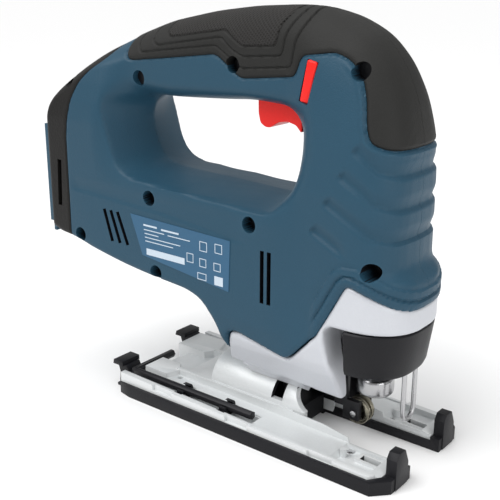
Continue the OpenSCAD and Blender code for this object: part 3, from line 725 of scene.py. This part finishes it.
def case_width(x, z):
    width = np.interp(z, [29, 32, 36, 40, 44, 49, 57, 66], [17.4, 18.6, 20.8, 23, 25.2, 27, 28.2, 28.6])
    rim = distance_to(x, z, CASE, closed=True)
    lip = 1 - 0.035 * (1 - ease(rim, 0.0, 1.5))
    return np.maximum(width * nose_plan(x) * lip, 0.25)


case = sculpted(CASE, [], case_width, coarse=1.0, fine=0.7, rounds=3)
foot = prism([(-8.5, 22.5), (8.5, 22.5), (17, 31), (17, 40), (-17, 40), (-17, 31)], 20, 56, "x")
boolean(foot, [rod((10, 0, SADDLE_Z), (100, 0, SADDLE_Z), SADDLE_RADIUS + 0.2)])
boolean(case, [block((66, 101), (-14, 14), (20, 71)), block((30, 62), (-22, 22), (41, 96)),
               rod((88, 0, 71.5), (88, 0, 100), 10)])
boolean(case, [rod((72, -20, 44), (72, 20, 44), 2), rod((50, 20, 43.5), (50, 32, 43.5), 3)])
case = joined([case, foot])
finish_piece(case, "gear_case_casting", "housing", ["gear_case"], CAST, SMOOTH_ANGLE)


def on_nose(obj, shrink_of):
    """Bends a round ring about the nose's upright axis to the nose's own plan."""
    co = points_of(obj)
    dx, dy = co[:, 0] - NOSE_X, co[:, 1]
    r = np.hypot(dx, dy)
    c, s = np.abs(dx) / r, np.abs(dy) / r
    long = np.where(dx > 0, NOSE_LONG, NOSE_WIDE)
    reach = ((c / long) ** NOSE_POWER + (s / NOSE_WIDE) ** NOSE_POWER) ** (-1 / NOSE_POWER)
    k = (r - 30 + reach - shrink_of(co[:, 2])) / r
    co[:, 0] = NOSE_X + dx * k
    co[:, 1] = dy * k
    put_points(obj, co)
    return obj


def ring_about_nose(profile):
    """Spins a closed profile of (radius, height) about the nose's upright axis."""
    bm = bmesh.new()
    corners = [bm.verts.new((NOSE_X + r, 0, z)) for r, z in profile]
    edges = [bm.edges.new((a, b)) for a, b in zip(corners, corners[1:] + corners[:1])]
    bmesh.ops.spin(bm, geom=corners + edges, cent=(NOSE_X, 0, 0), axis=(0, 0, 1), angle=math.tau, steps=120,
                   use_merge=True)
    bmesh.ops.remove_doubles(bm, verts=bm.verts, dist=0.001)
    return new_object("ring", bm)


lever = ring_about_nose([(29.4, 69.2), (30, 68.4), (30, 49.4), (29.2, 47), (27, 46.4), (20, 46.4),
                         (20, 49.2), (27, 49.2),
                         (27, 69.2)])
boolean(lever, [block((40, 86), (-40, 40), (40, 80))])
boolean(lever, [block((96, 101), (-40, -22), (40, 47.6)), block((96, 101), (22, 40), (40, 47.6))])
on_nose(lever, lambda z: 0.5 + 3.0 * (1 - ease(z, 44, 70)))
finish_piece(bevelled(lever, 0.6, 3), "tool_release_lever", "release_lever", ["release_lever"],
             BLACK)

CLAMP_X, CLAMP_R = 88.0, 9.0
cup = bevelled(rod((CLAMP_X, 0, 29.4), (CLAMP_X, 0, 39.2), CLAMP_R, sides=72), 2.6, 5)
boolean(cup, [block((CLAMP_X - 4.6, CLAMP_X + 4.6), (-0.8, 0.8), (20, 37))])
cup = joined([cup, rod((CLAMP_X, 0, 39), (CLAMP_X, 0, 42), CLAMP_R - 1.8)])
finish_piece(cup, "blade_clamp_cup", body_of_node["blade_clamp"], ["blade_clamp"], STEEL)

# ---------------------------------------------------------------- trigger and lock button

trigger = prism(filleted([(21, 171), (21.2, 158), (22.4, 153.4), (25.2, 151.6), (28.2, 151.6), (30.6, 153.1),
                          (33.5, 154.8), (38.3, 155.5), (43.2, 154.3), (46.4, 150.8), (46.6, 171)], 1.2),
                          -7, 7)
bevelled(trigger, 1.5, 4)
boolean(trigger, [rod((30, 0, 163), (30, 0, 175), 3.9)])
finish_piece(trigger, "trigger_blade", "trigger", ["trigger"], RED)
bar = bevelled(slot_tool(*LOCK_BAR, 5.2, (-21.4, 21.4)), 1.0, 4)
finish_piece(bar, "lock_bar", "lock_button", ["lock_button"], RED)

# ---------------------------------------------------------------- base casting and slide shoe

BASE_HALF, GAP_HALF = 36.8, 15.9
KEY_Y, KEY_Z, KEY_CLIP_PLACES = -28.5, 10.6, (-10, 19)
SHOE_GAP_HALF = 14.35
METAL_PLAN = [(-50, -BASE_HALF), (107, -BASE_HALF), (111.5, 7 - BASE_HALF), (111.5, BASE_HALF - 7),
              (107, BASE_HALF),
              (-50, BASE_HALF)]


def mirrored(make):
    """The same part on both sides of the tool."""
    return [make(1), make(-1)]


def strip(side, y0, y1):
    return (side * y1, side * y0) if side < 0 else (y0, y1)


def base_half_parts(side):
    """Solids of one side of the base: rim, deck, rib, rear step and prong."""
    rim = prism([(-50, 2), (109, 2), (109, 8.2), (88, 8.8), (40, 9.6), (-50, 12)],
                *strip(side, 33.6, BASE_HALF))
    deck = prism([(-42, 2), (86, 2), (84, 8.0), (40, 8.8), (-42, 10.8)], *strip(side, 14.4, 34.2))
    rib = prism([(-27, 3), (86, 3), (84, 10.4), (70, 12.6), (50, 13.2), (-27, 13.8)],
                *strip(side, 14.4, 16.6))
    step = prism([(-50, side * 15), (-50, side * 29.5), (-30, side * 29.5), (-25, side * 17),
                  (-30, side * 10),
                  (-50, side * 10)], 2, 13, "z")
    nose = prism([(84, 2), (111, 2), (111, 6.6), (106, 8.0), (104, 5.4), (86, 5.4), (84, 8.0)],
                 *strip(side, 14.4, 34.2))
    inner_lip = prism([(84, 2), (110, 2), (110, 7.2), (84, 7.6)], *strip(side, 14.4, 17.6))
    window_rim = prism([(93.6, 3), (107.6, 3), (107.6, 6.6), (93.6, 7.0)], *strip(side, 18.8, 26))
    return [rim, deck, rib, step, nose, inner_lip, window_rim]


sheet = prism(METAL_PLAN, 1.7, 4.2, "z")
base = joined([sheet] + base_half_parts(1) + base_half_parts(-1))
base = joined([base, block((-42, -20), (-14.5, 14.5), (2, 9)), block((-22, 56), (-14.5, 14.5), (2, 12))])
boolean(base, [block((51, 120), (-GAP_HALF, GAP_HALF), (-1, 40)), block((-52, 38), (-33, -24), (8, 20))])
boolean(base, [block((-44, 38), (-32.4, -24.6), (5, 20))])
boolean(base, [block((-52, -43.6), (-33, 5), (8, 20)), rod((-22, 19, 0), (-22, 19, 20), 1.5),
               rod((-22, -19, 0), (-22, -19, 20), 1.5)])
corner_trims = [prism([(112, s * 29.8), (107, s * 36.85), (107, s * 45), (125, s * 45), (125, s * 29.8)],
                      -2, 30, "z")
                for s in (-1, 1)]
boolean(base, corner_trims)
boolean(base, [block((95.5, 106), strip(s, 20.4, 24.4), (1.65, 20)) for s in (-1, 1)]
        + [block((-26 + 50.0 * i, -12 + 50.0 * i), (-40, -35.2), (8.4 - 1.4 * i, 20)) for i in range(3)]
        + [block((-26 + 50.0 * i, -12 + 50.0 * i), (35.2, 40), (8.4 - 1.4 * i, 20)) for i in range(3)]
        + [block((x - 2.6, x + 2.6), (-34.4, -22.6), (7, 20)) for x in KEY_CLIP_PLACES])
bevelled(base, 0.55, 2)

saddle = rod((-4, 0, SADDLE_Z), (57.5, 0, SADDLE_Z), SADDLE_RADIUS, sides=96)
bevelled(saddle, 1.6, 3)
boolean(saddle, [rod((2, 0, SADDLE_Z), (70, 0, SADDLE_Z), SADDLE_BORE, sides=72)])
boolean(saddle, [block((-20, 70), (-30, 30), (-10, 3))])
boolean(saddle, [rod((64, -30, 28), (64, 30, 28), 15.5, sides=72),
                 block((36.5, 43.5), (-16, 16), (15.5, 40))])
boolean(saddle, [block((1, 70), (-12.2, 12.2), (-5, SADDLE_Z))])
bevelled(saddle, 0.5, 2)
base = joined([base, saddle])
pegs = [rod((87, s * 25, 4), (87, s * 25, 9.5), 1.6) for s in (-1, 1)]
base = joined([base] + pegs)
base = finish_piece(base, "base_casting", "base", ["base_plate"], BRIGHT_CAST)


def painted_shade_inside(x, y, z):
    """Painted shade: the inside of the saddle, and the front windows below their rims, painted black to
    stand for the shadow in them.
    """
    saddle_inside = (np.hypot(y, z - SADDLE_Z) < SADDLE_BORE + 0.5) & (x > 1.5) & (x < 57) & (z < 24.5)
    window = (x > 95.3) & (x < 106.2) & (np.abs(y) > 20.2) & (np.abs(y) < 24.6) & (z < 4.6) & (z > 1.0)
    return saddle_inside | window


# The saddle's inside and the front windows are painted black as shade.
paint_faces(base, BLACK, painted_shade_inside)


def key_clip(x):
    """A spring ring that holds the hex key, open towards its outer side."""
    ring = rod((x - 2.2, KEY_Y, KEY_Z), (x + 2.2, KEY_Y, KEY_Z), 4.1)
    seat = joined([ring, block((x - 2.3, x + 2.3), (-33.8, -23.2), (7, 9.6))])
    mouth = [(-33.5, 12), (-33.5, 18), (-22, 18), (-22, 13.2), (-28.2, 13.2), (KEY_Y, KEY_Z)]
    boolean(seat, [rod((x - 5, KEY_Y, KEY_Z), (x + 5, KEY_Y, KEY_Z), 2.75)])
    return boolean(seat, [prism(mouth, x - 5, x + 5, "x")])


clips = gathered([bevelled(key_clip(x), 0.3) for x in KEY_CLIP_PLACES])
finish_piece(clips, "key_clip_rings", "base", ["key_clips"], BLACK)

SHOE_PLAN = [(-42, -39), (109.5, -39), (116.5, -31.5), (116.5, 31.5), (109.5, 39), (-42, 39),
             (-50, 37.4), (-50, -37.4)]
shoe = prism(SHOE_PLAN, 0, 1.6, "z")
lip = prism(SHOE_PLAN, 0.4, 6.6, "z")
inner = prism([(-60, -36.9), (107, -36.9), (111.6, -29.9), (111.6, 29.9), (107, 36.9), (-60, 36.9)], 1.7,
              20, "z")
boolean(lip, [inner])
shoe = joined([shoe, lip])


def bumper(side):
    y0, y1 = strip(side, 17.6, 28.4)
    body = prism([(y0, 0.3), (y1, 0.3), (y1, 11), (y1 - 1.6, 14.5), (y1 - 3.2, 18), (y0 + 2.2, 18),
                  (y0, 15)],
                 111.7, 117, "x")
    return body


def rear_hook(side):
    y0, y1 = strip(side, 19, 32)
    stem = prism([(-49.2, 0.2), (-49.2, 8), (-52, 12.8), (-58.6, 12.8), (-57, 8), (-57.8, 0.2)],
                 y0 + 1.5, y1 - 1.5)
    head = prism([(-61, 12.4), (-60.4, 15), (-53.6, 15), (-53.4, 12.4)], y0, y1)
    return joined([stem, head, block((-58, -49), (y0, y1), (0.1, 1.5))])


shoe = joined([shoe] + mirrored(bumper) + mirrored(rear_hook))
boolean(shoe, [block((51, 121), (-SHOE_GAP_HALF, SHOE_GAP_HALF), (-1, 20))])
shoe = joined([shoe, block((52, 112.5), (-15.8, -SHOE_GAP_HALF), (0.2, 4.4)),
               block((52, 112.5), (SHOE_GAP_HALF, 15.8), (0.2, 4.4))])
boolean(shoe, [block((-1, 59), (-12, 12), (-1, 3))])
finish_piece(bevelled(shoe, 0.6, 2), "slide_shoe_cover", "base", ["slide_shoe"], BLACK)

# ---------------------------------------------------------------- rating label marks, plain bars and boxes

LABEL_SKIN = (-30.95, -30.7)     # Y of the printed marks, just proud of the film
LABEL_BARS = [(-34.5, -25, 97.6, 0.9), (-22, -10, 97.2, 0.9), (-34.2, -20, 95.2, 0.45),
              (-17.5, -2.5, 95.0, 0.45),
              (-33.8, -24, 93.2, 0.45), (-33.6, -9, 91.2, 0.45), (-33.4, -14, 89.2, 0.45),
              (-32.8, -6.3, 83.6, 3.4)]
LABEL_BOXES = [(3.8, 8.6, 91.4, 96.4), (13.6, 18.2, 92.2, 97), (-4.8, -0.4, 84, 88.8), (3.6, 8, 83.2, 87.6),
               (12.8, 17.2, 83, 87.2), (2.2, 8, 76.4, 80)]
marks = [block((x0, x1), LABEL_SKIN, (z - tall / 2, z + tall / 2)) for x0, x1, z, tall in LABEL_BARS]
for x0, x1, z0, z1 in LABEL_BOXES:
    frame_mark = block((x0, x1), LABEL_SKIN, (z0, z1))
    boolean(frame_mark, [block((x0 + 0.35, x1 - 0.35), (-32, -30), (z0 + 0.35, z1 - 0.35))])
    marks.append(frame_mark)
marks.append(block((13.2, 18.6), LABEL_SKIN, (75.8, 80.4)))
finish_piece(gathered(marks), "label_marks", "housing", [], INK)

# ---------------------------------------------------------------- carried-over parts with their edges eased

EASED = {
    "terminal_block": (BLACK, "black_plastic", 0.3),
    "roller_fork": (DARK_STEEL, "blackened_steel", 0.5), "guide_roller": (ROLLER_STEEL, "steel", 0.35),
    "roller_pin": (STEEL, "steel", 0.25), "fork_pin": (STEEL, "steel", 0.25),
    "orbit_lever": (BLACK, "black_plastic", 0.5),
    "hex_key": (DARK_STEEL, "blackened_steel", 0.3),
    "base_clamp_screw": (DARK_STEEL, "blackened_steel", 0.3),
    "housing_screws": (DARK_STEEL, "blackened_steel", 0.2), "base_pins": (STEEL, "steel", 0.2),
}
PLAIN = {
    "battery_terminals": BRASS, "gear_frame": CAST, "lower_bush": BRASS, "upper_bush": BRASS,
    "rating_label": FILM,
    "motor_can": STEEL, "motor_magnets": DARK_STEEL, "motor_end_cap": BLACK, "brush_holder": BRASS,
    "front_bearing": STEEL, "rear_bearing": STEEL, "switch_module": BLACK, "control_board": BOARD,
    "power_leads": LEAD, "rotor_shaft": STEEL, "armature": COPPER, "commutator": COPPER,
    "cooling_fan": BLACK,
    "motor_pinion": STEEL, "gear_axle": STEEL, "drive_gear": STEEL, "counterweight": DARK_STEEL,
    "plunger_rod": STEEL, "plunger_yoke": STEEL, "trigger_spring": STEEL, "touch_guard": STEEL,
}


def eased_copy(node, width):
    """A merged copy of a CAD node in millimetres, with flat faces joined and edges rounded."""
    bm = bmesh.new()
    bm.from_mesh(frame["nodes"][node].data)
    bmesh.ops.scale(bm, vec=(1 / MM, 1 / MM, 1 / MM), verts=bm.verts)
    bmesh.ops.remove_doubles(bm, verts=bm.verts, dist=0.004)
    bmesh.ops.dissolve_limit(bm, angle_limit=math.radians(0.6), verts=bm.verts, edges=bm.edges)
    mesh = bpy.data.meshes.new(node)
    bm.to_mesh(mesh)
    bm.free()
    made = bpy.data.objects.new(node, mesh)
    bpy.context.scene.collection.objects.link(made)
    return bevelled(made, width)


for node, (material, slot_name, width) in EASED.items():
    finish_piece(eased_copy(node, width), "finished_" + node, body_of_node[node], [node],
                 material)
for node, material in PLAIN.items():
    mesh = frame["nodes"][node].data
    mesh.materials.clear()
    mesh.materials.append(material)

# ---------------------------------------------------------------- floor, light and camera

floor_mesh = bmesh.new()
bmesh.ops.create_grid(floor_mesh, x_segments=2, y_segments=2, size=6.0)
floor = new_object("floor", floor_mesh)
floor_paint = bpy.data.materials.new("pale_floor")
floor_paint.use_nodes = True
floor_paint.node_tree.nodes["Principled BSDF"].inputs["Base Color"].default_value = (0.93, 0.93, 0.93, 1)
floor_paint.node_tree.nodes["Principled BSDF"].inputs["Roughness"].default_value = 0.8
floor.data.materials.append(floor_paint)

world = bpy.data.worlds.new("studio")
bpy.context.scene.world = world
world.use_nodes = True
sky = world.node_tree.nodes["Background"]
sky.inputs["Color"].default_value = (1.0, 1.0, 1.0, 1)
sky.inputs["Strength"].default_value = 0.5
backdrop = world.node_tree.nodes.new("ShaderNodeBackground")
backdrop.inputs["Color"].default_value = (1.0, 1.0, 1.0, 1)
backdrop.inputs["Strength"].default_value = 1.0
seen = world.node_tree.nodes.new("ShaderNodeLightPath")
chosen_sky = world.node_tree.nodes.new("ShaderNodeMixShader")
world.node_tree.links.new(seen.outputs["Is Camera Ray"], chosen_sky.inputs[0])
world.node_tree.links.new(sky.outputs[0], chosen_sky.inputs[1])
world.node_tree.links.new(backdrop.outputs[0], chosen_sky.inputs[2])
world.node_tree.links.new(chosen_sky.outputs[0], world.node_tree.nodes["World Output"].inputs["Surface"])
bpy.context.scene.view_settings.view_transform = "Standard"


def soft_light(name, place, aim, size, power):
    lamp = bpy.data.lights.new(name, "AREA")
    lamp.shape = "RECTANGLE"
    lamp.size, lamp.size_y = size
    lamp.energy = power
    holder = bpy.data.objects.new(name, lamp)
    bpy.context.scene.collection.objects.link(holder)
    holder.location = place
    holder.rotation_euler = (Vector(aim) - Vector(place)).to_track_quat("-Z", "Y").to_euler()
    return holder


sun = bpy.data.lights.new("key_sun", "SUN")
sun.energy = 2.3
sun.angle = math.radians(50)
key = bpy.data.objects.new("key_sun", sun)
bpy.context.scene.collection.objects.link(key)
key.rotation_euler = Vector((0.35, 0.62, -1.0)).to_track_quat("-Z", "Y").to_euler()
soft_light("fill_light", (1.0, -0.35, 0.45), (0.0, 0.0, 0.1), (0.7, 0.7), 3.0)
soft_light("top_light", (0.1, 0.25, 1.1), (0.0, 0.0, 0.1), (0.9, 0.7), 3.0)

CAMERA_PLACE = (0.278351, -0.338893, 0.225420)
CAMERA_RIGHT = (0.784245, 0.620438, 0.003929)
CAMERA_UP = (-0.194277, 0.239546, 0.951249)
CAMERA_BACK = (0.589250, -0.746776, 0.308399)
lens = bpy.data.cameras.new("camera")
lens.sensor_width = 36.0
lens.lens = 63.599
lens.clip_start = 0.01
camera = bpy.data.objects.new("camera", lens)
bpy.context.scene.collection.objects.link(camera)
axes = Matrix((CAMERA_RIGHT, CAMERA_UP, CAMERA_BACK)).transposed().to_4x4()
camera.matrix_world = Matrix.Translation(CAMERA_PLACE) @ axes
bpy.context.scene.camera = camera
